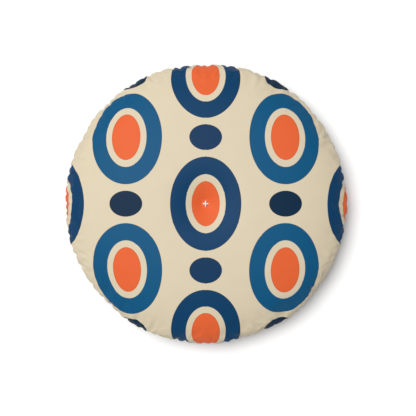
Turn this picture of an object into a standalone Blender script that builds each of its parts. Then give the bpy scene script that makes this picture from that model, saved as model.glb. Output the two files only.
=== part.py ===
"""Round tufted floor cushion.

Two printed cloth panels are sewn right sides together round their edge, turned, stuffed with loose
polyester fibre and closed by hand. Two cords run through the middle of the cushion and are tied
underneath, and they pull the cloth into a dimple on both faces.

Frame: +Z up, origin at the centre of the underside, which rests on the plane z = 0.
"""

import math

import bmesh
import bpy
from mathutils import Matrix, Vector

# Overall sizes, in metres.
DIAMETER = 0.660
HEIGHT = 0.150
SEAM_HEIGHT = 0.062
FOOT_DIAMETER = 0.400

# Cloth and sewing.
CLOTH = 0.0010
ALLOWANCE = 0.012
FOLD_RADIUS = 0.0030
THREAD = 0.0006
STITCH_LINE_INSET = 0.0045
OVERLOCK_WIDTH = 0.0040
CLOSING_ANGLES = (116.0, 154.0)
CLOSING_STITCH = 0.0060
CLOSING_SWING = 0.0007

# Tuft.
CORD = 0.0032
CORD_SPREAD = 0.0120
CORNER_SHARE = 0.75
TOP_DIMPLE_DEPTH = 0.024
TOP_DIMPLE_RADIUS = 0.105
UNDER_DIMPLE_DEPTH = 0.020
UNDER_DIMPLE_RADIUS = 0.080
FLAT_SPOT_RADIUS = 0.010
KNOT_WIDTH = 0.0100
KNOT_HEIGHT = 0.0066

# Care label.
LABEL_WIDTH = 0.025
LABEL_LENGTH = 0.036
LABEL_THICKNESS = 0.0004
LABEL_ANGLE = 60.0

# Curve shapes: 2 is an ellipse, more is a fuller, boxier shoulder.
CROWN_FULLNESS = 2.6
UNDER_FULLNESS = 2.2

# Running gap between pieces that touch on the real cushion.
GAP = 0.0003

# Facets.
AROUND = 48
DIMPLE_STEPS = 5
SHOULDER_STEPS = 10
FOLD_STEPS = 3
THREAD_SIDES = 6
BAR_STEPS = 6

RADIUS = DIAMETER / 2
FOOT_RADIUS = FOOT_DIAMETER / 2
SEAM_GAP = LABEL_THICKNESS + 2 * GAP
PANEL_EDGE = SEAM_GAP / 2 + FOLD_RADIUS
THREAD_ROOM = THREAD + 2 * GAP
BAR_STAND_OFF = CORD / 2 + 2 * GAP
CROSSING_RISE = CORD + 2 * GAP
STEP_ANGLE = 2 * math.pi / AROUND

PRINT_BLUE = (0.025, 0.118, 0.246, 1.0)
CREAM = (0.730, 0.645, 0.470, 1.0)
FIBRE_WHITE = (0.86, 0.86, 0.84, 1.0)
THREAD_CREAM = (0.70, 0.66, 0.56, 1.0)
CORD_WHITE = (0.88, 0.87, 0.85, 1.0)
LABEL_WHITE = (0.90, 0.90, 0.88, 1.0)


def clear_scene():
    for old in list(bpy.data.objects):
        bpy.data.objects.remove(old)


def material(name, colour, roughness):
    made = bpy.data.materials.new(name)
    made.use_nodes = True
    shader = made.node_tree.nodes["Principled BSDF"]
    shader.inputs["Base Color"].default_value = colour
    shader.inputs["Roughness"].default_value = roughness
    shader.inputs["Metallic"].default_value = 0.0
    return made


def add_object(name, data, finish):
    made = bpy.data.objects.new(name, data)
    made.data.materials.append(finish)
    bpy.context.scene.collection.objects.link(made)
    return made


def finish_mesh(name, shape, finish):
    """Turns a closed bmesh into an object, with its normals out and its round faces smooth."""
    bmesh.ops.recalc_face_normals(shape, faces=shape.faces)
    mesh = bpy.data.meshes.new(name)
    shape.to_mesh(mesh)
    shape.free()
    mesh.shade_smooth()
    mesh.set_sharp_from_angle(angle=math.radians(40))
    return add_object(name, mesh, finish)


def tuft_dimple(radius, depth, reach):
    """How far the cords pull the cloth in, at this radius: a flat spot, then a cone that eases out."""
    share = (radius - FLAT_SPOT_RADIUS) / (reach - FLAT_SPOT_RADIUS)
    return depth * (1 - min(1.0, max(0.0, share))) ** 2


def crown_height(radius):
    """Height of the upper panel's outer face."""
    start = SEAM_HEIGHT + PANEL_EDGE
    dome = (HEIGHT - start) * math.sqrt(max(0.0, 1 - (radius / RADIUS) ** CROWN_FULLNESS))
    return start + dome - tuft_dimple(radius, TOP_DIMPLE_DEPTH, TOP_DIMPLE_RADIUS)


def dimple_radii(reach):
    """Ring radii across a dimple, from the axis out: the flat spot's edge, then even steps."""
    step = (reach - FLAT_SPOT_RADIUS) / DIMPLE_STEPS
    return [0.0] + [FLAT_SPOT_RADIUS + step * k for k in range(DIMPLE_STEPS + 1)]


def upper_curve():
    """The upper panel's outer face from the axis to the start of its fold, as (radius, height)."""
    points = [(r, crown_height(r)) for r in dimple_radii(TOP_DIMPLE_RADIUS)]
    first = math.asin((TOP_DIMPLE_RADIUS / RADIUS) ** (CROWN_FULLNESS / 2))
    for k in range(1, SHOULDER_STEPS):
        turn = first + (math.pi / 2 - first) * k / SHOULDER_STEPS
        r = RADIUS * math.sin(turn) ** (2 / CROWN_FULLNESS)
        points.append((r, crown_height(r)))
    return points + [(RADIUS, SEAM_HEIGHT + PANEL_EDGE)]


def lower_curve():
    """The lower panel's outer face from the axis, over the flat foot, to the start of its fold."""
    points = [
        (r, tuft_dimple(r, UNDER_DIMPLE_DEPTH, UNDER_DIMPLE_RADIUS))
        for r in dimple_radii(UNDER_DIMPLE_RADIUS)
    ]
    rise = SEAM_HEIGHT - PANEL_EDGE
    for k in range(SHOULDER_STEPS):
        turn = math.pi / 2 * k / SHOULDER_STEPS
        r = FOOT_RADIUS + (RADIUS - FOOT_RADIUS) * math.sin(turn) ** (2 / UNDER_FULLNESS)
        points.append((r, rise * (1 - math.cos(turn))))
    return points + [(RADIUS, rise)]


def fold(side):
    """The turned edge: a quarter round, then the allowance lying in. side is +1 above the seam, -1 below."""
    centre = (RADIUS - FOLD_RADIUS, SEAM_HEIGHT + side * PANEL_EDGE)
    points = []
    for k in range(1, FOLD_STEPS + 1):
        turn = math.pi / 2 * k / FOLD_STEPS
        points.append(
            (
                centre[0] + FOLD_RADIUS * math.cos(turn),
                centre[1] - side * FOLD_RADIUS * math.sin(turn),
            )
        )
    return points + [(RADIUS - ALLOWANCE, SEAM_HEIGHT + side * SEAM_GAP / 2)]


def offset_inwards(points, distance, side):
    """A curve moved in from the cloth's outer face by an even distance. side is +1 above the seam, -1 below."""
    normals = []
    for (r0, z0), (r1, z1) in zip(points, points[1:]):
        along = Vector((r1 - r0, z1 - z0)).normalized()
        normals.append(Vector((along.y, -along.x)) * side)
    moved = []
    for k, (r, z) in enumerate(points):
        before = normals[max(k - 1, 0)]
        after = normals[min(k, len(normals) - 1)]
        shift = (before + after) * distance / (1 + before.dot(after))
        moved.append((r + shift.x, z + shift.y))
    moved[0] = (0.0, points[0][1] - side * distance)
    return moved


def spin_profile(points, closed):
    """Turns a profile of (radius, height) once round +Z, with a facet centred on each main axis."""
    shape = bmesh.new()
    ring = profile_line(shape, points, closed, STEP_ANGLE / 2)
    bmesh.ops.spin(
        shape,
        geom=ring,
        cent=(0, 0, 0),
        axis=(0, 0, 1),
        angle=2 * math.pi,
        steps=AROUND,
        use_merge=True,
    )
    bmesh.ops.remove_doubles(shape, verts=shape.verts, dist=1e-6)
    return shape


def spin_arc(points, start, sweep):
    """Turns a closed profile part of the way round +Z from the angle start, and caps both ends."""
    shape = bmesh.new()
    ring = profile_line(shape, points, True, start)
    steps = round(sweep / STEP_ANGLE)
    bmesh.ops.spin(shape, geom=ring, cent=(0, 0, 0), axis=(0, 0, 1), angle=sweep, steps=steps)
    ends = [edge for edge in shape.edges if edge.is_boundary]
    bmesh.ops.holes_fill(shape, edges=ends, sides=0)
    return shape


def profile_line(shape, points, closed, turn):
    """Draws a profile of (radius, height) as edges in the upright plane at the angle turn."""
    about = Matrix.Rotation(turn, 3, "Z")
    made = [shape.verts.new(about @ Vector((r, 0.0, z))) for r, z in points]
    edges = [shape.edges.new(pair) for pair in zip(made, made[1:])]
    if closed:
        edges.append(shape.edges.new((made[-1], made[0])))
    return made + edges


def panel(name, outer, side, finish):
    """A cloth panel: its outer face, and its inner face the cloth's thickness further in."""
    profile = outer + offset_inwards(outer, CLOTH, side)[::-1]
    return finish_mesh(name, spin_profile(profile, closed=False), finish)


def needle_hole_cutter():
    """Four pegs, one round each cord leg, a gap wider than the cord."""
    shape = bmesh.new()
    for k in range(4):
        turn = math.pi / 2 * k
        place = Vector((math.cos(turn), math.sin(turn), 0)) * CORD_SPREAD / 2
        place.z = HEIGHT / 2
        bmesh.ops.create_cone(
            shape,
            cap_ends=True,
            segments=12,
            radius1=CORD / 2 + 2 * GAP,
            radius2=CORD / 2 + 2 * GAP,
            depth=HEIGHT * 1.2,
            matrix=Matrix.Translation(place),
        )
    cutter = finish_mesh("needle_hole_cutter", shape, material("cutter", CREAM, 1.0))
    cutter.hide_render = True
    cutter.display_type = "WIRE"
    return cutter


def pierce(piece, cutter):
    cut = piece.modifiers.new("Needle holes", "BOOLEAN")
    cut.operation = "DIFFERENCE"
    cut.object = cutter


def fibre_fill(finish):
    """The stuffing: it fills the cover, and a groove at the seam leaves room for the allowances."""
    skin = CLOTH + GAP
    groove = SEAM_GAP / 2 + CLOTH + THREAD_ROOM
    groove_radius = RADIUS - ALLOWANCE - THREAD_ROOM
    upper = offset_inwards(upper_curve(), skin, side=1)
    lower = offset_inwards(lower_curve(), skin, side=-1)
    upper[-1] = (RADIUS - skin - GAP, SEAM_HEIGHT + PANEL_EDGE)
    lower[-1] = (RADIUS - skin - GAP, SEAM_HEIGHT - PANEL_EDGE)
    lip = RADIUS - FOLD_RADIUS - GAP
    profile = upper
    profile += [(lip, SEAM_HEIGHT + groove), (groove_radius, SEAM_HEIGHT + groove)]
    profile += [(groove_radius, SEAM_HEIGHT - groove), (lip, SEAM_HEIGHT - groove)]
    profile += reversed(lower)
    return finish_mesh("fibre_fill", spin_profile(profile, closed=False), finish)


def seam_thread(name, side, finish):
    """One thread of the lockstitch round the seam, which stops at the stuffing hole.

    side +1 lies on the upper allowance, -1 under the lower one.
    """
    middle = (
        RADIUS - STITCH_LINE_INSET,
        SEAM_HEIGHT + side * (SEAM_GAP / 2 + CLOTH + GAP + THREAD / 2),
    )
    profile = []
    for k in range(THREAD_SIDES):
        turn = 2 * math.pi * k / THREAD_SIDES
        profile.append((middle[0] + THREAD / 2 * math.cos(turn), middle[1] + THREAD / 2 * math.sin(turn)))
    first, last = (math.radians(a) for a in CLOSING_ANGLES)
    return finish_mesh(name, spin_arc(profile, last, 2 * math.pi - (last - first)), finish)


def overlock_ring(finish):
    """The overlock thread that wraps the raw edges of both allowances, as one C-shaped ring."""
    inner_half = SEAM_GAP / 2 + CLOTH + GAP
    outer_half = inner_half + THREAD
    edge = RADIUS - ALLOWANCE - GAP
    reach = RADIUS - ALLOWANCE + OVERLOCK_WIDTH
    profile = [
        (reach, SEAM_HEIGHT + inner_half),
        (reach, SEAM_HEIGHT + outer_half),
        (edge - THREAD, SEAM_HEIGHT + outer_half),
        (edge - THREAD, SEAM_HEIGHT - outer_half),
        (reach, SEAM_HEIGHT - outer_half),
        (reach, SEAM_HEIGHT - inner_half),
        (edge, SEAM_HEIGHT - inner_half),
        (edge, SEAM_HEIGHT + inner_half),
    ]
    return finish_mesh("overlock_thread", spin_profile(profile, closed=True), finish)


def tube(name, points, diameter, cyclic, finish):
    """A round cord or thread along a line of points."""
    data = bpy.data.curves.new(name, "CURVE")
    data.dimensions = "3D"
    line = data.splines.new("POLY")
    line.points.add(len(points) - 1)
    for point, place in zip(line.points, points):
        point.co = (*place, 1.0)
    line.use_cyclic_u = cyclic
    data.bevel_depth = diameter / 2
    data.bevel_resolution = 2
    data.use_fill_caps = not cyclic
    return add_object(name, data, finish)


def faceted_radius(angle, radius):
    """Distance from the axis to the flat side of a turned piece, at this angle."""
    from_middle = (angle + STEP_ANGLE / 2) % STEP_ANGLE - STEP_ANGLE / 2
    return radius * math.cos(STEP_ANGLE / 2) / math.cos(from_middle)


def closing_thread(finish):
    """Hand stitches that close the stuffing hole: a zigzag across the groove between the two folds."""
    first, last = (math.radians(a) for a in CLOSING_ANGLES)
    count = round((last - first) * RADIUS / (CLOSING_STITCH / 2))
    points = []
    for k in range(count + 1):
        angle = first + (last - first) * k / count
        r = faceted_radius(angle, RADIUS) - THREAD / 2
        swing = CLOSING_SWING * (1 if k % 2 else -1)
        points.append((r * math.cos(angle), r * math.sin(angle), SEAM_HEIGHT + swing))
    return tube("closing_thread", points, THREAD, False, finish)


def loop_path(top, under, arch, squareness):
    """A cord loop in a vertical plane, as (across, height): a bar on each face and a leg down each side.

    top and under are the heights where the bars leave the legs, and arch is how far each bar stands out
    from there. squareness 2 makes the bar a half ellipse, and more makes it flat with tight corners.
    """
    half = CORD_SPREAD / 2
    bar = []
    for k in range(2 * BAR_STEPS + 1):
        turn = math.pi * k / (2 * BAR_STEPS)
        across = -math.copysign(abs(math.cos(turn)) ** (2 / squareness), math.cos(turn))
        bar.append((half * across, arch * math.sin(turn) ** (2 / squareness)))
    upper = [(a, top + out) for a, out in bar]
    lower = [(a, under - out) for a, out in reversed(bar)]
    return upper + lower


def tuft_cords(finish):
    """Two cord loops through the cushion. Their bars make a cross on each face, one over the other."""
    corner = CORD * CORNER_SHARE
    top = crown_height(0.0) + BAR_STAND_OFF - corner
    under = UNDER_DIMPLE_DEPTH - BAR_STAND_OFF + corner
    flat_bars = loop_path(top, under, corner, 4)
    arched_bars = loop_path(top, under, corner + CROSSING_RISE, 2)
    tube("tuft_cord_x", [(a, 0.0, z) for a, z in flat_bars], CORD, True, finish)
    tube("tuft_cord_y", [(0.0, a, z) for a, z in arched_bars], CORD, True, finish)


def tuft_knot(finish):
    """The knot that ties the cords off, under their crossing on the underside."""
    crossing = UNDER_DIMPLE_DEPTH - BAR_STAND_OFF - CROSSING_RISE - CORD / 2
    middle = Vector((0, 0, crossing - GAP - KNOT_HEIGHT / 2))
    shape = bmesh.new()
    bmesh.ops.create_uvsphere(shape, u_segments=16, v_segments=8, radius=0.5)
    bmesh.ops.scale(shape, verts=shape.verts, vec=(KNOT_WIDTH, KNOT_WIDTH, KNOT_HEIGHT))
    bmesh.ops.translate(shape, verts=shape.verts, vec=middle)
    return finish_mesh("tuft_knot", shape, finish)


def care_label(finish):
    """A blank satin label: its root is caught between the allowances, and its tail hangs down outside."""
    flat = RADIUS * math.cos(STEP_ANGLE / 2)
    stand_off = LABEL_THICKNESS / 2 + GAP
    line = [(flat - ALLOWANCE + OVERLOCK_WIDTH, SEAM_HEIGHT), (flat - FOLD_RADIUS, SEAM_HEIGHT)]
    facet = math.cos(STEP_ANGLE / 2)
    side = [(r * facet, z) for r, z in reversed(lower_curve())]
    used = 0.0
    last = (flat + stand_off, SEAM_HEIGHT - PANEL_EDGE)
    line += [(flat - FOLD_RADIUS * 0.15, SEAM_HEIGHT - SEAM_GAP / 4), last]
    for k in range(1, len(side)):
        along = Vector((side[k][0] - side[k - 1][0], side[k][1] - side[k - 1][1]))
        out = Vector((-along.y, along.x)).normalized()
        place = (side[k][0] + out.x * stand_off * 2, side[k][1] + out.y * stand_off * 2)
        used += math.dist(last, place)
        if used > LABEL_LENGTH:
            break
        line.append(place)
        last = place
    shape = bmesh.new()
    made = [shape.verts.new((-LABEL_WIDTH / 2, r, z)) for r, z in line]
    edges = [shape.edges.new(pair) for pair in zip(made, made[1:])]
    pulled = bmesh.ops.extrude_edge_only(shape, edges=edges)["geom"]
    moved = [v for v in pulled if isinstance(v, bmesh.types.BMVert)]
    bmesh.ops.translate(shape, verts=moved, vec=(LABEL_WIDTH, 0, 0))
    facet_angle = STEP_ANGLE * round(math.radians(LABEL_ANGLE) / STEP_ANGLE)
    turn = Matrix.Rotation(facet_angle - math.pi / 2, 3, "Z")
    bmesh.ops.rotate(shape, verts=shape.verts, cent=(0, 0, 0), matrix=turn)
    made = finish_mesh("care_label", shape, finish)
    thick = made.modifiers.new("Tape", "SOLIDIFY")
    thick.thickness = LABEL_THICKNESS
    thick.offset = 0
    thick.use_even_offset = True
    return made


def main():
    clear_scene()
    print_cloth = material("printed_cloth", PRINT_BLUE, 0.85)
    under_cloth = material("printed_cloth_under", CREAM, 0.85)
    fibre = material("polyester_fibre", FIBRE_WHITE, 0.95)
    sewing = material("sewing_thread", THREAD_CREAM, 0.7)
    cord = material("tuft_cord", CORD_WHITE, 0.75)
    satin = material("label_satin", LABEL_WHITE, 0.45)

    cutter = needle_hole_cutter()
    pierce(panel("top_panel", upper_curve() + fold(1), 1, print_cloth), cutter)
    pierce(panel("bottom_panel", lower_curve() + fold(-1), -1, under_cloth), cutter)
    pierce(fibre_fill(fibre), cutter)
    seam_thread("seam_needle_thread", 1, sewing)
    seam_thread("seam_bobbin_thread", -1, sewing)
    overlock_ring(sewing)
    closing_thread(sewing)
    tuft_cords(cord)
    tuft_knot(cord)
    care_label(satin)


main()
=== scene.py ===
"""Round tufted seat cushion: a stuffed knife-edge cover in a cloth printed with plain ovals."""

import math

import bmesh
import bpy
import numpy as np
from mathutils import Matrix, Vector
from mathutils.bvhtree import BVHTree


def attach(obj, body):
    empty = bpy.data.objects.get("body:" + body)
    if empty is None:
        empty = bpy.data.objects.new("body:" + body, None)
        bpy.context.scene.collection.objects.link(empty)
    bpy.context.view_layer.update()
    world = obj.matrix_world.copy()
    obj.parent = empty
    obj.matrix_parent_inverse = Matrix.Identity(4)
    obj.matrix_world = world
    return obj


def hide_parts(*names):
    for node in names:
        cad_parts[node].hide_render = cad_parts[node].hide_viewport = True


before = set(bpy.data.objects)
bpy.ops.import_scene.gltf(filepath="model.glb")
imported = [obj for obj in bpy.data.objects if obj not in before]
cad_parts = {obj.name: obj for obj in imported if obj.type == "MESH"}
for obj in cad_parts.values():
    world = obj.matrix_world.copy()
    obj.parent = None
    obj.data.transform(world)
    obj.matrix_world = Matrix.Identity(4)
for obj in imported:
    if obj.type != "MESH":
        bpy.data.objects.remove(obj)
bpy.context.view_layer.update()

MM = 0.001

# ---------------------------------------------------------------- the cushion's sizes, in metres
RADIUS = 0.330
SEAM_HEIGHT = 0.062
CROWN_HEIGHT = 0.150
CROWN_FULLNESS = 2.6
FOOT_RADIUS = 0.200
UNDER_FULLNESS = 2.2
FLAT_SPOT = 0.010
TOP_DIMPLE = (0.024, 0.105)
UNDER_DIMPLE = (0.020, 0.080)
ALLOWANCE = 0.012
STITCH_INSET = 0.0045
THREAD = 0.0006
CORD = 0.0029
CORD_SPREAD = 0.0108
CORNER = CORD * 0.75
GAP = 0.0003
BAR_STAND_OFF = CORD / 2 + 2 * GAP
CROSSING_RISE = CORD + 2 * GAP
CLOSING = (116, 154)
CLOSING_STITCH = 0.006
LABEL = (0.025, 0.036, 0.0004)
LABEL_ANGLE = math.radians(60)
LABEL_ROOT = (0.008, 0.003)     # how far inside the seam the rows of its sewn-in root lie

FULL_SEAM = 0.3315
# where the seam is stuffed less: the middle of each stretch and half its width, both in degrees, and how far
# it is drawn in
SLACK_STRETCHES = ((88, 28, 0.009), (222, 25, 0.009), (257, 20, 0.008), (292, 30, 0.012), (343, 18, 0.005))

# ---------------------------------------------------------------- the cloth and how it is sewn up
RINGS = 72
FRAMES = 16
SMOOTH_PART = 0.65      # share of the panel that the filling keeps smooth
GATHERS = (0.74, 0.93)  # shares between which the gathers come in
HOLD = (0.3, 0.005)     # how firmly the filling holds the middle and the rim
HOLD_FADES = (0.72, 0.18)       # the share where the hold starts to fade, and over how much it fades
TUFT_SHARE = 0.026      # the cloth up to here is tied down by the tuft
UNEVEN_FROM = 0.75      # the cloth starts out a little uneven past this share
UNEVEN = 0.2 * MM
PUCKER_SEED = 5
FARTHEST_FOLD = 0.008
SEAM_GROOVE = 0.0018
PLEAT_LENGTH = (0.014, 0.030)   # shortest and longest puff between two pleats
PLEAT_DEPTH = (0.0016, 0.0042)
PLEAT_REACH = 0.017
FOLDED_EDGE = (0.0030, 0.0006)  # the turned edge of the allowance: how deep it is, and how far it parts


# ================================================================ the shape before the gathers
def dimple(r, depth, reach):
    share = np.clip((r - FLAT_SPOT) / (reach - FLAT_SPOT), 0, 1)
    return depth * (1 - share) ** 2


def crown(r):
    arch = np.sqrt(np.clip(1 - (r / RADIUS) ** CROWN_FULLNESS, 0, 1))
    return SEAM_HEIGHT + (CROWN_HEIGHT - SEAM_HEIGHT) * arch - dimple(r, *TOP_DIMPLE)


def underside(r):
    share = np.clip((r - FOOT_RADIUS) / (RADIUS - FOOT_RADIUS), 0, 1)
    arch = np.sqrt(np.clip(1 - share**UNDER_FULLNESS, 0, 1))
    return SEAM_HEIGHT * (1 - arch) + dimple(r, *UNDER_DIMPLE)


def along_cloth(height):
    """Radius, and distance along the cloth from the tuft, at many steps from the middle to the seam."""
    r = RADIUS * np.sin(np.linspace(0, math.pi / 2, 4001))
    steps = np.hypot(np.diff(r), np.diff(height(r)))
    return r, np.concatenate([[0.0], np.cumsum(steps)])


def seam_radius(angle):
    """The seam's radius where the filling pushes it out more or less."""
    radius = np.full_like(angle, FULL_SEAM)
    for middle, half_width, drawn_in in SLACK_STRETCHES:
        apart = np.abs(np.mod(angle - math.radians(middle) + math.pi, 2 * math.pi) - math.pi)
        share = np.clip(apart / math.radians(half_width), 0, 1)
        radius -= drawn_in * np.cos(share * math.pi / 2) ** 2
    return radius


def ease(x, low, high):
    x = np.clip((x - low) / (high - low), 0, 1)
    return x * x * (3 - 2 * x)


def places(mesh_like):
    return np.array([v.co[:] for v in mesh_like.verts])


def read(mesh, layer, kind="vector", width=3):
    out = np.zeros(len(mesh.vertices) * width, dtype=np.float32)
    mesh.attributes[layer].data.foreach_get(kind, out)
    return out.reshape(-1, width) if width > 1 else out


def coordinates(mesh, what="co"):
    out = np.zeros(len(mesh.vertices) * 3, dtype=np.float32)
    mesh.vertices.foreach_get(what, out)
    return out.reshape(-1, 3).astype(float)


def place_all(mesh, co):
    mesh.vertices.foreach_set("co", np.asarray(co, dtype=np.float32).ravel())
    mesh.update()


def show(name, mesh):
    piece = bpy.data.objects.new(name, mesh)
    bpy.context.scene.collection.objects.link(piece)
    return piece


def applied(piece):
    """A mesh of the piece with its modifiers applied."""
    looked_at = piece.evaluated_get(bpy.context.evaluated_depsgraph_get())
    return bpy.data.meshes.new_from_object(looked_at)


def drop(piece):
    mesh = piece.data
    bpy.data.objects.remove(piece)
    if mesh.users == 0:
        bpy.data.meshes.remove(mesh)


# ================================================================ the sewn shell
def cloth_disc(shape):
    """A round panel as rings of triangles. Gives each corner's share of the way to the rim and its angle."""
    bmesh.ops.create_circle(shape, cap_ends=True, cap_tris=True, segments=6, radius=1.0)
    bmesh.ops.subdivide_edges(shape, edges=shape.edges, cuts=RINGS - 1, use_grid_fill=True)
    co = places(shape)
    sixth = math.pi / 3
    bearing, far = np.arctan2(co[:, 1], co[:, 0]), np.hypot(co[:, 0], co[:, 1])
    corner = bearing[np.argmax(far)]
    side = np.floor((bearing - corner) / sixth + 1e-6)
    turn = bearing - corner - (side + 0.5) * sixth
    share = far * np.cos(turn) / math.cos(sixth / 2)
    across = 0.5 + np.tan(turn) / (2 * math.tan(sixth / 2))
    angle = (side + np.where(share > 1e-9, across, 0)) * sixth + corner
    return share, angle


def sewn_shell():
    """Two round panels sewn together at the rim and drawn over the filling, before they pucker."""
    shape = bmesh.new()
    share, angle = cloth_disc(shape)
    r_top, s_top = along_cloth(crown)
    r_low, s_low = along_cloth(underside)
    reach = s_top[-1]
    s = share * reach
    turn = np.column_stack([np.cos(angle), np.sin(angle)])
    swing = 1 + (seam_radius(angle) / RADIUS - 1) * share**2
    top = np.interp(s, s_top, r_top)
    low = np.interp(share * s_low[-1], s_low, r_low)
    upper = np.column_stack([turn * (top * swing)[:, None], np.interp(s, s_top, crown(r_top))])
    lower = np.column_stack([turn * (low * swing)[:, None], np.interp(low, r_low, underside(r_low))])
    flat = np.column_stack([turn * s[:, None], np.zeros_like(s)])

    # at rest the cloth is as full as it was cut, but only past the part that the filling keeps smooth
    start = SMOOTH_PART * reach
    loose = np.where(s < start, top, np.interp(start, s_top, r_top) + s - start)
    line_s = np.linspace(0, reach, RINGS + 1)
    start_r = np.interp(start, s_top, r_top)
    line_r = np.where(line_s < start, np.interp(line_s, s_top, r_top), start_r + line_s - start)
    fall = np.sqrt(np.clip(np.diff(line_s) ** 2 - np.diff(line_r) ** 2, 0, None))
    line_z = -np.concatenate([[0.0], np.cumsum(fall)])
    rest = np.column_stack([turn * loose[:, None], np.interp(s, line_s, line_z)])

    is_under = shape.faces.layers.int.new("under")
    cut = shape.verts.layers.float_vector.new("cut")
    slack = shape.verts.layers.float_vector.new("slack")
    way = shape.verts.layers.float.new("way")
    count = len(shape.verts)
    copy = bmesh.ops.duplicate(shape, geom=shape.verts[:] + shape.edges[:] + shape.faces[:])["geom"]
    under = [f for f in copy if isinstance(f, bmesh.types.BMFace)]
    bmesh.ops.reverse_faces(shape, faces=under)
    for face in under:
        face[is_under] = 1
    shape.verts.ensure_lookup_table()
    for i, corner in enumerate(shape.verts):
        k = i % count
        corner.co = upper[k] if i < count else lower[k]
        corner[cut], corner[slack], corner[way] = flat[k], rest[k], share[k]
    rim = [v for v in shape.verts if v[way] > 1 - 1e-6]
    bmesh.ops.remove_doubles(shape, verts=rim, dist=1e-5)
    bmesh.ops.recalc_face_normals(shape, faces=shape.faces)
    mesh = bpy.data.meshes.new("sewn")
    shape.to_mesh(mesh)
    shape.free()
    return mesh


def pleats(angle, way, reach):
    """How far the cloth is drawn in along the seam: round puffs with a sharp fold between them."""
    rng = np.random.default_rng(PUCKER_SEED)
    lengths = rng.uniform(*PLEAT_LENGTH, 2000)
    lengths = lengths[: np.searchsorted(np.cumsum(lengths), 2 * math.pi * RADIUS)]
    folds = np.concatenate([[0.0], np.cumsum(lengths)]) * 2 * math.pi / lengths.sum()
    depths = rng.uniform(*PLEAT_DEPTH, len(lengths) + 1)
    depths[-1] = depths[0]
    turn = np.mod(angle, 2 * math.pi)
    k = np.clip(np.searchsorted(folds, turn, side="right") - 1, 0, len(lengths) - 1)
    share = (turn - folds[k]) / (folds[k + 1] - folds[k])
    depth = depths[k] * (1 - share) + depths[k + 1] * share
    fold = 1 - np.abs(np.sin(math.pi * share)) ** 0.7
    return depth * (fold - 0.35) * np.exp(-(1 - way) * reach / PLEAT_REACH)


def pucker(mesh):
    """A new mesh in which the full cloth gathers towards the seam while the filling holds it out."""
    scene = bpy.context.scene
    base, normal = coordinates(mesh), coordinates(mesh, "normal")
    way = read(mesh, "way", "value", 1)
    slack = read(mesh, "slack")
    shell = show("shell", mesh)
    rng = np.random.default_rng(PUCKER_SEED)
    near_seam = np.clip((way - UNEVEN_FROM) / (1 - UNEVEN_FROM), 0, 1)
    out = normal.copy()
    out[:, 2] *= 1 - way**8
    angle = np.arctan2(base[:, 1], base[:, 0])
    drawn = pleats(angle, way, np.linalg.norm(read(mesh, "cut"), axis=1).max())
    uneven = rng.normal(0, UNEVEN, len(base)) * near_seam
    place_all(mesh, base + normal * uneven[:, None] - out * drawn[:, None])
    shell.shape_key_add(name="Basis")
    as_cut = shell.shape_key_add(name="as cut")
    as_cut.data.foreach_set("co", slack.ravel())

    held = shell.vertex_groups.new(name="held")
    inner, outer = HOLD
    fade_from, fade_over = HOLD_FADES
    grip = np.round(inner + (outer - inner) * np.clip((way - fade_from) / fade_over, 0, 1), 3)
    grip[way < TUFT_SHARE] = 1.0
    for value in np.unique(grip):
        held.add([int(i) for i in np.nonzero(grip == value)[0]], float(value), "REPLACE")
    weld = shell.modifiers.new("Weld", "WELD")
    weld.merge_threshold = 1e-7
    cloth = shell.modifiers.new("Cloth", "CLOTH")
    feel = cloth.settings
    feel.quality = 5
    feel.mass = 0.3
    feel.tension_stiffness = feel.compression_stiffness = 15
    feel.shear_stiffness = 7.5
    feel.bending_stiffness = 0.1
    feel.tension_damping = feel.compression_damping = feel.shear_damping = 5
    feel.bending_damping = 0.5
    feel.air_damping = 1
    feel.pin_stiffness = 1
    feel.vertex_group_mass = "held"
    feel.rest_shape_key = as_cut
    feel.effector_weights.gravity = 0
    cloth.collision_settings.use_collision = False
    cloth.collision_settings.use_self_collision = False
    scene.frame_start, scene.frame_end = 1, FRAMES
    cloth.point_cache.frame_end = FRAMES
    for step in range(1, FRAMES + 1):
        scene.frame_set(step)
    settled = applied(shell)
    moved = coordinates(settled) - base
    scene.frame_set(1)
    drop(shell)

    # the filling keeps each ring's size, and the middle smooth, and a fold stands out only so far
    outward = np.column_stack([np.cos(angle), np.sin(angle)])
    radial = (moved[:, :2] * outward).sum(axis=1)
    below = (normal[:, 2] < 0) & (way < 1 - 1e-6)
    ring = np.rint(way * RINGS).astype(int) + below * (RINGS + 1)
    count = np.maximum(np.bincount(ring), 1)
    mean_out, mean_up = (np.bincount(ring, weights=w)[ring] / count[ring] for w in (radial, moved[:, 2]))
    moved[:, :2] -= outward * mean_out[:, None]
    moved[:, 2] -= mean_up
    moved *= ease(way, *GATHERS)[:, None]
    far = np.linalg.norm(moved, axis=1)
    moved *= (FARTHEST_FOLD * np.tanh(far / FARTHEST_FOLD) / np.maximum(far, 1e-9))[:, None]
    co = base + moved - out * 0.5 * drawn[:, None]
    rim = way > 1 - 1e-6
    co[rim, :2] *= 1 - SEAM_GROOVE / RADIUS
    co[:, 2] = np.maximum(co[:, 2], 0.0)
    place_all(settled, co)
    return settled


shell = pucker(sewn_shell())


def rim_line(mesh):
    """The seam's places in order of their angle."""
    way = read(mesh, "way", "value", 1)
    line = coordinates(mesh)[way > 1 - 1e-6]
    return line[np.argsort(np.arctan2(line[:, 1], line[:, 0]))]


seam = rim_line(shell)


def seam_at(angles, inset=0.0, rise=0.0):
    """Places along the seam at the angles, moved in towards the middle and up."""
    bearing = np.arctan2(seam[:, 1], seam[:, 0])
    far = np.interp(angles, bearing, np.hypot(seam[:, 0], seam[:, 1]), period=2 * math.pi) - inset
    height = np.interp(angles, bearing, seam[:, 2], period=2 * math.pi) + rise
    return np.column_stack([far * np.cos(angles), far * np.sin(angles), height])


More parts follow.
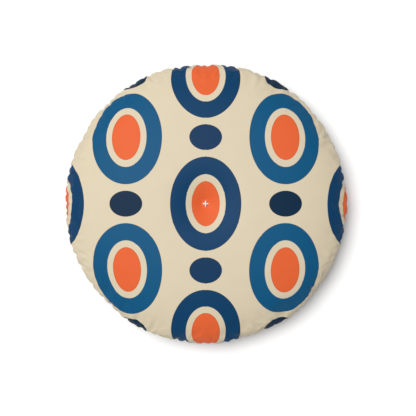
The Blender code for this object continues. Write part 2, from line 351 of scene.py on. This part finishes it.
# ================================================================ the print, in mm on the flat cloth
COLUMN, ROW = 185, 310          # from one ring to the next, with every other column half a row higher
RING = (84, 110)                # half the width and half the height of each oval
CREAM_OVAL = (48, 70)
ORANGE_OVAL = (34, 54)
SPOT = (38, 30)
COLUMNS = 3                     # how many columns and rows the cloth holds on each side of the tuft
ROWS = 2
INKS = ("dusk", "dark", "navy", "blue", "cream", "orange")
DEPTH_KEPT = 14                 # how far from an edge its ink's depth is kept


def depth_in_oval(at, middle, half_size):
    """How far the places lie inside the oval, in mm, less than nothing outside it, and exact at its edge."""
    offset = (at - middle) / half_size
    far = np.maximum(np.hypot(*offset.T), 1e-6)
    slope = np.maximum(np.hypot(*(offset / half_size).T) / far, 1e-6)
    return np.clip((1 - far) / slope, -DEPTH_KEPT, DEPTH_KEPT)


def motifs():
    """Each oval as its ink, middle and half size: rings in a half drop, with a spot between each pair."""
    for column in range(-COLUMNS, COLUMNS + 1):
        odd = column % 2
        for row in range(-ROWS, ROWS + 1):
            middle = np.array([column * COLUMN, (row + odd / 2) * ROW])
            yield "blue" if odd else "navy", middle, RING
            yield "cream", middle, CREAM_OVAL
            yield "orange", middle, ORANGE_OVAL
            yield "dark" if odd else "dusk", middle + (0, ROW / 2), SPOT


def lay_print(mesh, turned):
    """Each ink's depth inside its own shapes, kept on the cloth. turned is the panel's turn on the bolt."""
    cut = read(mesh, "cut").astype(float) / MM
    c, s = math.cos(turned), math.sin(turned)
    at = np.column_stack([cut[:, 0] * c + cut[:, 1] * s, cut[:, 1] * c - cut[:, 0] * s])
    depths = {ink: np.full(len(at), -float(DEPTH_KEPT)) for ink in INKS}
    for ink, middle, half_size in motifs():
        depths[ink] = np.maximum(depths[ink], depth_in_oval(at, middle, np.array(half_size)))
    for name, values in depths.items():
        layer = mesh.attributes.new(name, "FLOAT", "POINT")
        layer.data.foreach_set("value", values.astype(np.float32))


# ================================================================ covers and filling
def panel(name, keep_under, turned):
    """One side of the shell: smoothed, printed, and with its seam allowance turned in."""
    shape = bmesh.new()
    shape.from_mesh(shell)
    layer = shape.faces.layers.int["under"]
    bmesh.ops.delete(shape, geom=[f for f in shape.faces if f[layer] != keep_under], context="FACES")
    side = -1 if keep_under else 1
    edges = [e for e in shape.edges if e.is_boundary]
    for inset, gap in (FOLDED_EDGE, (ALLOWANCE - FOLDED_EDGE[0], 0.0002)):
        pulled = bmesh.ops.extrude_edge_only(shape, edges=edges)["geom"]
        for corner in (v for v in pulled if isinstance(v, bmesh.types.BMVert)):
            far = corner.co.xy.length
            corner.co.xy *= (far - inset) / far
            corner.co.z += side * gap
        edges = [e for e in pulled if isinstance(e, bmesh.types.BMEdge)]
    bmesh.ops.recalc_face_normals(shape, faces=shape.faces)
    faces_up = sum(f.normal.z for f in shape.faces if f.calc_center_median().xy.length < 0.2) > 0
    if faces_up == bool(keep_under):
        bmesh.ops.reverse_faces(shape, faces=shape.faces)
    mesh = bpy.data.meshes.new(name)
    shape.to_mesh(mesh)
    shape.free()
    rough = show(name + "_rough", mesh)
    finer = rough.modifiers.new("Finer", "SUBSURF")
    finer.levels = finer.render_levels = 1
    fine = applied(rough)
    drop(rough)
    fine.name = name
    co = coordinates(fine)
    co[:, 2] = np.maximum(co[:, 2], 0.0)
    place_all(fine, co)
    lay_print(fine, turned)
    fine.shade_smooth()
    return show(name, fine)


def filling():
    """The fibre that fills the cover, a little inside it."""
    shape = bmesh.new()
    shape.from_mesh(shell)
    bmesh.ops.smooth_vert(
        shape, verts=shape.verts, factor=0.5, use_axis_x=True, use_axis_y=True, use_axis_z=True)
    shape.normal_update()
    way = shape.verts.layers.float["way"]
    for corner in shape.verts:
        corner.co -= corner.normal * (0.0012 + 0.0030 * max(0.0, corner[way] - 0.9) * 10)
    mesh = bpy.data.meshes.new("fill")
    shape.to_mesh(mesh)
    shape.free()
    mesh.shade_smooth()
    return show("fill", mesh)


top_cover = panel("top_cover", 0, 0.0)
under_cover = panel("under_cover", 1, math.radians(90))
fill = filling()


# ================================================================ threads, cords and label
def tube(name, lines, thick, sides=3, closed=True):
    """One piece of thread or cord along one line or more."""
    path = bpy.data.curves.new(name, "CURVE")
    path.dimensions = "3D"
    path.bevel_depth = thick / 2
    path.bevel_resolution = sides - 2
    path.use_fill_caps = True
    for line in lines:
        run = path.splines.new("POLY")
        run.points.add(len(line) - 1)
        for point, place in zip(run.points, line):
            point.co = (*place, 1.0)
        run.use_cyclic_u = closed
    drawn = show(name + "_line", path)
    mesh = applied(drawn)
    bpy.data.objects.remove(drawn)
    bpy.data.curves.remove(path)
    shape = bmesh.new()
    shape.from_mesh(mesh)
    bmesh.ops.remove_doubles(shape, verts=shape.verts, dist=1e-7)
    bmesh.ops.recalc_face_normals(shape, faces=shape.faces)
    shape.to_mesh(mesh)
    shape.free()
    mesh.name = name
    mesh.shade_smooth()
    return show(name, mesh)


def around(count):
    return np.linspace(-math.pi, math.pi, count, endpoint=False)


def lockstitch(name, side):
    """One thread of the seam. It lies along the allowances and dips to its neighbour at each needle hole."""
    stitches = 680
    angles = around(stitches * 4)
    dips = 0.4 * MM * np.clip(np.cos(angles * stitches), 0.2, 1)
    line = seam_at(angles, STITCH_INSET)
    line[:, 2] += side * (1.6 * MM - dips)
    return tube(name, [line], THREAD, sides=3)


def overlocking():
    """Thread that loops round the raw edges of both allowances."""
    loops, steps = 500, 6
    angles = around(loops * steps)
    turn = angles * loops
    line = seam_at(angles, ALLOWANCE - 1.6 * MM)
    line[:, :2] *= 1 - (1.9 * MM * np.cos(turn) / RADIUS)[:, None]
    line[:, 2] += 1.9 * MM * np.sin(turn)
    return tube("overlocking", [line], THREAD * 0.8, sides=3)


def closing_stitches():
    """The hand-sewn ladder that closes the gap left for stuffing: short rungs from one fold to the other."""
    low, high = (math.radians(a) for a in CLOSING)
    count = int((high - low) * RADIUS / CLOSING_STITCH)
    rungs = []
    for k in range(count):
        angle = low + (high - low) * (k + 0.5) / count
        lean = 0.6 * MM / RADIUS
        a, b = angle - lean, angle + lean
        rungs.append(np.vstack([
            seam_at([a], 2.6 * MM, 2.0 * MM), seam_at([a], 0.3 * MM, 1.9 * MM),
            seam_at([angle], -0.7 * MM, 0.0),
            seam_at([b], 0.3 * MM, -1.9 * MM), seam_at([b], 2.6 * MM, -2.0 * MM)]))
    return tube("closing_stitches", rungs, THREAD, sides=3, closed=False)


def cord_loop(arch, squareness, steps=24):
    """A closed loop of cord through the cushion, across and height: a bar on each face, and two legs."""
    top = crown(np.array(0.0)) + BAR_STAND_OFF - CORNER
    low = UNDER_DIMPLE[0] - BAR_STAND_OFF + CORNER
    turn = np.linspace(0, math.pi, steps + 1)
    across = -np.sign(np.cos(turn)) * np.abs(np.cos(turn)) ** (2 / squareness) * CORD_SPREAD / 2
    out = arch * np.sin(turn) ** (2 / squareness)
    leg = np.linspace(0.05, 0.95, 40)
    right = np.column_stack([np.full_like(leg, CORD_SPREAD / 2), top + (low - top) * leg])
    left = np.column_stack([np.full_like(leg, -CORD_SPREAD / 2), low + (top - low) * leg])
    over = np.column_stack([across, top + out])
    below = np.column_stack([-across, low - out])
    return np.vstack([over, right, below, left])


def twisted(name, loop, along_x):
    """A cord of three plies laid round each other along the loop."""
    plies, lay = 3, 5.0 * MM
    step = np.diff(np.vstack([loop, loop[:1]]), axis=0)
    run = np.concatenate([[0.0], np.cumsum(np.hypot(*step.T))])
    total = run[-1]
    s = np.linspace(0, total, int(total / (0.55 * MM)), endpoint=False)
    closed = np.vstack([loop, loop[:1]])
    across, height = (np.interp(s, run, closed[:, k]) for k in (0, 1))
    ahead = np.column_stack([np.roll(k, -1) - np.roll(k, 1) for k in (across, height)])
    ahead /= np.linalg.norm(ahead, axis=1)[:, None]
    turns = round(total / lay)
    ply = CORD * 0.27
    lines = []
    for k in range(plies):
        turn = 2 * math.pi * (turns * s / total + k / plies)
        out, side = ply * np.cos(turn), ply * np.sin(turn)
        a = across - ahead[:, 1] * out
        h = height + ahead[:, 0] * out
        lines.append(np.column_stack([a, side, h] if along_x else [side, a, h]))
    return tube(name, lines, ply * 2.1, sides=4)


def knot():
    """The overhand knot that ties the cords off underneath, with two short tails."""
    crossing = UNDER_DIMPLE[0] - BAR_STAND_OFF - CROSSING_RISE - CORD / 2
    middle = crossing - GAP - 0.0033
    t = np.linspace(0, 2 * math.pi, 60, endpoint=False)
    size = 1.15 * MM
    ring = np.column_stack([
        size * (np.sin(t) + 2 * np.sin(2 * t)), size * (np.cos(t) - 2 * np.cos(2 * t)),
        middle - 1.25 * size * np.sin(3 * t)])
    tails = []
    for turn in (0.6, 3.5):
        away = np.linspace(0, 1, 8)
        far = 2.0 * MM + 7.5 * MM * away
        bend = turn + 0.5 * away
        tails.append(np.column_stack([
            far * np.cos(bend), far * np.sin(bend), middle - 0.6 * MM - 1.6 * MM * away**2]))
    closed = tube("knot_loop", [ring], 2.3 * MM, sides=4)
    loose = tube("knot_tails", tails, 2.0 * MM, sides=4, closed=False)
    shape = bmesh.new()
    shape.from_mesh(closed.data)
    shape.from_mesh(loose.data)
    mesh = bpy.data.meshes.new("knot")
    shape.to_mesh(mesh)
    shape.free()
    drop(closed)
    drop(loose)
    mesh.shade_smooth()
    return show("knot", mesh)


def side_label():
    """A blank satin tape: its root is sewn into the seam, and its tail lies down the underside."""
    width, length, thickness = LABEL
    shape = bmesh.new()
    shape.from_mesh(under_cover.data)
    surface = BVHTree.FromBMesh(shape)
    shape.free()
    bearings = LABEL_ANGLE + np.linspace(-0.5, 0.5, 9) * width / RADIUS
    edge = np.hypot(*seam_at(bearings)[:, :2].T).max()
    radii, heights = [edge + 0.6 * MM], [SEAM_HEIGHT - 0.8 * MM]
    drop_by = 2.0 * MM
    for k in range(1, 16):
        height = SEAM_HEIGHT - 1.0 * MM - k * drop_by
        hits = []
        for bearing in bearings:
            away = Vector((math.cos(bearing), math.sin(bearing), 0))
            place = surface.ray_cast(away * 0.4 + Vector((0, 0, height)), -away)[0]
            hits.append(place.xy.length)
        radii.append(max(hits) + 0.9 * MM)
        heights.append(height)
    radii = np.convolve(np.pad(radii, 1, mode="edge"), (0.25, 0.5, 0.25), "valid")
    middle = Vector((math.cos(LABEL_ANGLE), math.sin(LABEL_ANGLE)))
    side = Vector((-middle.y, middle.x))
    shape = bmesh.new()
    offsets = np.linspace(-width / 2, width / 2, 9)
    rows = []
    used, last = 0.0, None
    for inset in LABEL_ROOT:
        rows.append([Vector((*(middle * (edge - inset) + side * x), SEAM_HEIGHT)) for x in offsets])
    for far, height in zip(radii, heights):
        if last is not None:
            used += math.dist(last, (far, height))
        last = (far, height)
        if used > length - LABEL_ROOT[0]:
            break
        bow = [0.5 * MM * (1 - (2 * x / width) ** 2) * used / length for x in offsets]
        rows.append([Vector((*(middle * (far + b) + side * x), height)) for x, b in zip(offsets, bow)])
    made = [shape.verts.new(place) for place in rows[0]]
    edges = [shape.edges.new(pair) for pair in zip(made, made[1:])]
    for row in rows[1:]:
        pulled = bmesh.ops.extrude_edge_only(shape, edges=edges)["geom"]
        corners = [v for v in pulled if isinstance(v, bmesh.types.BMVert)]
        corners.sort(key=lambda v: v.co.xy.dot(side))
        for corner, place in zip(corners, row):
            corner.co = place
        edges = [e for e in pulled if isinstance(e, bmesh.types.BMEdge)]
    bmesh.ops.recalc_face_normals(shape, faces=shape.faces)
    bmesh.ops.solidify(shape, geom=shape.faces[:], thickness=thickness)
    bmesh.ops.recalc_face_normals(shape, faces=shape.faces)
    mesh = bpy.data.meshes.new("side_label")
    shape.to_mesh(mesh)
    shape.free()
    mesh.shade_smooth()
    return show("side_label", mesh)


needle_thread = lockstitch("needle_thread", 1)
bobbin_thread = lockstitch("bobbin_thread", -1)
overlock = overlocking()
closing = closing_stitches()
cord_x = twisted("tuft_bar_x", cord_loop(CORNER, 4), True)
cord_y = twisted("tuft_bar_y", cord_loop(CORNER + CROSSING_RISE, 2), False)
tie = knot()
label = side_label()


# ================================================================ finishes
class Value:
    """A socket in a material, so that a pattern can be written as sums."""

    def __init__(self, tree, socket=None):
        self.tree, self.socket = tree, socket

    def node(self, kind, inputs=(), output=0, **settings):
        made = self.tree.nodes.new(kind)
        for key, value in settings.items():
            setattr(made, key, value)
        for key, value in dict(inputs).items():
            if isinstance(value, Value):
                self.tree.links.new(value.socket, made.inputs[key])
            else:
                made.inputs[key].default_value = value
        return Value(self.tree, made.outputs[output])

    def maths(self, operation, first, second=0.0, clamp=False):
        return self.node("ShaderNodeMath", {0: first, 1: second}, operation=operation, use_clamp=clamp)

    def __add__(self, other):
        return self.maths("ADD", self, other)

    __radd__ = __add__

    def __sub__(self, other):
        return self.maths("SUBTRACT", self, other)

    def __rsub__(self, other):
        return self.maths("SUBTRACT", other, self)

    def __mul__(self, other):
        return self.maths("MULTIPLY", self, other)

    __rmul__ = __mul__

    def __truediv__(self, other):
        return self.maths("DIVIDE", self, other)

    def clamped(self):
        return self.maths("ADD", self, 0.0, clamp=True)

    def ramp(self, low, high):
        """0 up to low, 1 from high, and a straight slope between."""
        return ((self - low) / (high - low)).clamped()

    def sine(self):
        return self.maths("SINE", self)

    def size(self):
        return self.maths("ABSOLUTE", self)

    def mix(self, colour, other):
        """colour where this is 0, and other where it is 1."""
        return self.node("ShaderNodeMix", {0: self, 6: colour, 7: other}, 2, data_type="RGBA")

    def noise(self, where, scale, detail=2.0, roughness=0.5):
        look = {"Vector": where, "Scale": scale, "Detail": detail, "Roughness": roughness}
        return self.node("ShaderNodeTexNoise", look)


def colour(r, g, b):
    return (r, g, b, 1.0)


def finish(name, build, **steady):
    """A material. build gives what changes over the surface, and steady what is the same all over."""
    made = bpy.data.materials.new(name)
    made.use_nodes = True
    tree = made.node_tree
    tree.nodes.clear()
    shader = tree.nodes.new("ShaderNodeBsdfPrincipled")
    result = tree.nodes.new("ShaderNodeOutputMaterial")
    tree.links.new(shader.outputs[0], result.inputs["Surface"])
    for key, value in steady.items():
        shader.inputs[key.replace("_", " ")].default_value = value
    for key, value in build(Value(tree)).items():
        tree.links.new(value.socket, shader.inputs[key])
    return made


def weave(start, u, v, pitch):
    """Plain weave: each thread's round back, over and under in turn."""
    warp, weft = (u * (math.pi / pitch)).sine(), (v * (math.pi / pitch)).sine()
    over = start.maths("GREATER_THAN", warp * weft, 0.0)
    return over * warp.size() + (1 - over) * weft.size()


CREAM = colour(0.58, 0.50, 0.36)
DYES = {
    "dusk": colour(0.0036, 0.031, 0.085),
    "dark": colour(0.0015, 0.018, 0.046),
    "navy": colour(0.0022, 0.0390, 0.106),
    "blue": colour(0.0030, 0.0750, 0.174),
    "cream": CREAM,
    "orange": colour(0.65, 0.109, 0.031)}
HEAVY = 0.80   # how dark an ink is along its edge, where it pools


def printed(start):
    """Inks on plain-woven cloth: each is crisp and a little heavier at its edge, and uneven over the cloth."""
    flat = start.node("ShaderNodeAttribute", output="Vector", attribute_name="cut")
    across = start.node("ShaderNodeSeparateXYZ", {0: flat}, 0)
    along = start.node("ShaderNodeSeparateXYZ", {0: flat}, 1)
    layer = {ink: start.node("ShaderNodeAttribute", output="Fac", attribute_name=ink) for ink in INKS}
    threads = weave(start, across, along, 0.7 * MM)
    cloudy = start.noise(flat, 26.0, 3.0)
    speckle = start.noise(flat, 420.0, 2.0, 0.7)
    shade = CREAM
    for ink in INKS:
        body = DYES[ink]
        if ink != "cream":
            edge = start.node("ShaderNodeMix", {0: HEAVY, 6: colour(0, 0, 0), 7: body}, 2, data_type="RGBA")
            body = layer[ink].ramp(0.3, 2.4).mix(edge, body)
        shade = layer[ink].ramp(-0.35, 0.35).mix(shade, body)
    uneven = 0.955 + 0.06 * cloudy + 0.03 * speckle
    # painted shade: the colour is darkened a little in the hollows between the woven threads, where their
    # round backs fall away
    weave_hollow_shade = 0.97 + 0.03 * threads
    grey = start.node("ShaderNodeCombineColor", {k: uneven * weave_hollow_shade for k in range(3)})
    shade = start.node(
        "ShaderNodeMix", {0: 1.0, 6: shade, 7: grey}, 2, data_type="RGBA", blend_type="MULTIPLY")
    relief = threads + 0.35 * speckle
    bump = start.node("ShaderNodeBump", {"Strength": 0.35, "Distance": 0.00012, "Height": relief})
    return {"Base Color": shade, "Roughness": 0.58 - 0.06 * threads, "Normal": bump}


def fibrous(start):
    where = start.node("ShaderNodeTexCoord", output="Object")
    strands = start.noise(where, 260.0, 4.0, 0.7)
    shade = strands.mix(colour(0.72, 0.72, 0.70), colour(0.92, 0.92, 0.90))
    bump = start.node("ShaderNodeBump", {"Strength": 0.7, "Distance": 0.001, "Height": strands})
    return {"Base Color": shade, "Roughness": 0.9 + 0.08 * strands, "Normal": bump}


def spun(light, dark, scale):
    """Spun yarn: fine slanting fibres, a little uneven in colour."""
    def build(start):
        where = start.node("ShaderNodeTexCoord", output="Object")
        slant = {"Vector": where, "Rotation": (0.5, 0.7, 0.6), "Scale": (1.0, 1.0, 0.22)}
        drawn = start.node("ShaderNodeMapping", slant)
        fibres = start.noise(drawn, scale, 3.0, 0.6)
        bump = start.node("ShaderNodeBump", {"Strength": 0.5, "Distance": 0.0003, "Height": fibres})
        return {"Base Color": fibres.mix(dark, light), "Roughness": 0.78 + 0.15 * fibres, "Normal": bump}
    return build


def satin(start):
    """Woven satin tape: long floats along it."""
    where = start.node("ShaderNodeTexCoord", output="Object")
    turned = start.node("ShaderNodeMapping", {"Vector": where, "Rotation": (0.0, 0.0, -LABEL_ANGLE)})
    side = start.node("ShaderNodeSeparateXYZ", {0: turned}, 1)
    height = start.node("ShaderNodeSeparateXYZ", {0: turned}, 2)
    floats = (side * (math.pi / (0.35 * MM))).sine().size()
    picks = (height * (math.pi / (1.1 * MM)) + 2.0 * floats).sine().size()
    cloudy = start.noise(where, 150.0, 2.0)
    # painted shade in the weave: the float crowns are painted lighter than the hollows between them, over a
    # colour that is uneven over the tape
    shade = (0.6 * cloudy + 0.2 * floats).mix(colour(0.74, 0.73, 0.70), colour(0.90, 0.89, 0.86))
    relief = floats + 0.4 * picks
    bump = start.node("ShaderNodeBump", {"Strength": 0.3, "Distance": 0.00008, "Height": relief})
    return {"Base Color": shade, "Roughness": 0.38 + 0.14 * cloudy, "Normal": bump}


def plain_floor(start):
    where = start.node("ShaderNodeTexCoord", output="Object")
    faint = start.noise(where, 3.0, 2.0)
    return {"Base Color": faint.mix(colour(0.80, 0.80, 0.80), colour(0.82, 0.82, 0.82))}


yarn = spun(colour(0.80, 0.74, 0.62), colour(0.62, 0.56, 0.45), 2600.0)
cotton = spun(colour(0.93, 0.92, 0.89), colour(0.74, 0.72, 0.67), 1500.0)
cloth_above = finish("printed cloth", printed, Specular_IOR_Level=0.11)
cloth_below = finish("printed cloth under", printed, Specular_IOR_Level=0.11)
fibre = finish("polyester fibre", fibrous)
thread = finish("sewing thread", yarn)
tuft = finish("tuft cord", cotton)
tape = finish("label satin", satin)


# ================================================================ what each piece stands for
def seat(piece, material, slot, *nodes):
    piece.data.materials.clear()
    piece.data.materials.append(material)
    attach(piece, "root")
    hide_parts(*nodes)


seat(top_cover, cloth_above, "printed_cloth", "top_panel")
seat(under_cover, cloth_below, "printed_cloth_under", "bottom_panel")
seat(fill, fibre, "polyester_fibre", "fibre_fill")
seat(needle_thread, thread, "sewing_thread", "seam_needle_thread")
seat(bobbin_thread, thread, "sewing_thread", "seam_bobbin_thread")
seat(overlock, thread, "sewing_thread", "overlock_thread")
seat(closing, thread, "sewing_thread", "closing_thread")
seat(cord_x, tuft, "tuft_cord", "tuft_cord_x")
seat(cord_y, tuft, "tuft_cord", "tuft_cord_y")
seat(tie, tuft, "tuft_cord", "tuft_knot")
seat(label, tape, "label_satin", "care_label")


# ================================================================ floor, light and camera
def floor():
    shape = bmesh.new()
    bmesh.ops.create_grid(shape, x_segments=1, y_segments=1, size=20.0)
    bmesh.ops.translate(shape, verts=shape.verts, vec=(0, 0, -0.0003))
    mesh = bpy.data.meshes.new("floor")
    shape.to_mesh(mesh)
    shape.free()
    mesh.materials.append(finish("pale floor", plain_floor, Roughness=0.9, Specular_IOR_Level=0.0))
    show("floor", mesh)


SUN_FROM = (math.radians(147), math.radians(70))   # bearing and height above the floor
SUN = 3.35
SUN_SPREAD = math.radians(36)
SKY = 0.38


def light():
    lamp = bpy.data.lights.new("window", "SUN")
    lamp.energy = SUN
    lamp.angle = SUN_SPREAD
    window = bpy.data.objects.new("window", lamp)
    bearing, height = SUN_FROM
    level = math.cos(height)
    towards = Vector((math.cos(bearing) * level, math.sin(bearing) * level, math.sin(height)))
    window.rotation_euler = towards.to_track_quat("Z", "Y").to_euler()
    bpy.context.scene.collection.objects.link(window)
    world = bpy.data.worlds.new("room")
    world.use_nodes = True
    backdrop = world.node_tree.nodes["Background"]
    start = Value(world.node_tree)
    direction = start.node("ShaderNodeTexCoord", output="Generated")
    height = start.node("ShaderNodeSeparateXYZ", {0: direction}, 2).clamped()
    seen = start.node("ShaderNodeLightPath", output="Is Camera Ray")
    strength = seen + (1 - seen) * (SKY * (0.35 + 0.65 * height))
    world.node_tree.links.new(strength.socket, backdrop.inputs["Strength"])
    backdrop.inputs["Color"].default_value = (1, 1, 1, 1)
    bpy.context.scene.world = world


def camera():
    lens = bpy.data.cameras.new("camera")
    lens.lens = 81.07
    lens.sensor_width = 36.0
    eye = bpy.data.objects.new("camera", lens)
    eye.location = (0.0052, -0.0098, 2.262)
    bpy.context.scene.collection.objects.link(eye)
    bpy.context.scene.camera = eye


floor()
light()
camera()
bpy.context.scene.view_settings.view_transform = "Standard"
